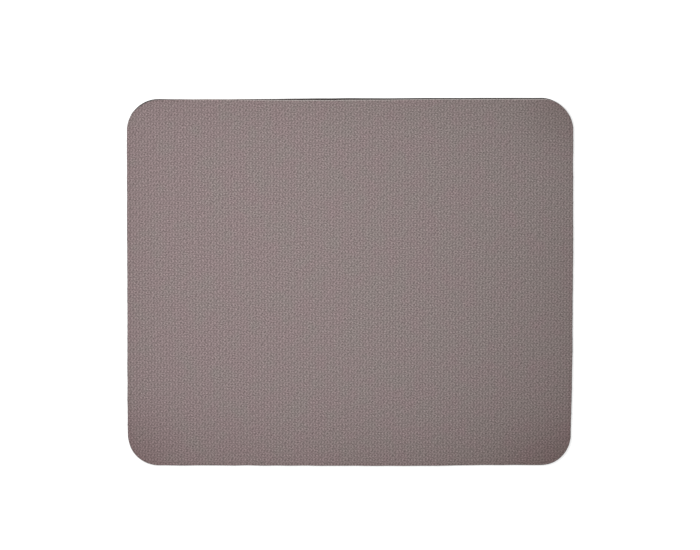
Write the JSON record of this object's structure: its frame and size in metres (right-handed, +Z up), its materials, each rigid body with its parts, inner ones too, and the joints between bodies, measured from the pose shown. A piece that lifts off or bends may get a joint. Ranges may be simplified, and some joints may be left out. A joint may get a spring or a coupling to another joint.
{
  "type": "mouse pad",
  "caption": "Flat rectangular mouse pad with rounded corners: a grey knitted cloth face bonded to a dark sponge-rubber base with a wavy anti-slip tread underneath.",
  "frame": {"origin": "middle of the underside, in the plane that rests on the desk", "axes": "+X along the long side, +Y towards the far long side, +Z up through the layers to the cloth"},
  "size_m": [0.216, 0.178, 0.003],
  "materials": {
    "rubber": "matt dark sponge rubber, fine moulded grain",
    "film": "milky hot-melt film",
    "cloth": "fine knitted polyester, warm grey, matt"
  },
  "bodies": {
    "root": {"rubber_base": "rubber", "adhesive_film": "film", "face_cloth": "cloth"}
  },
  "joints": []
}
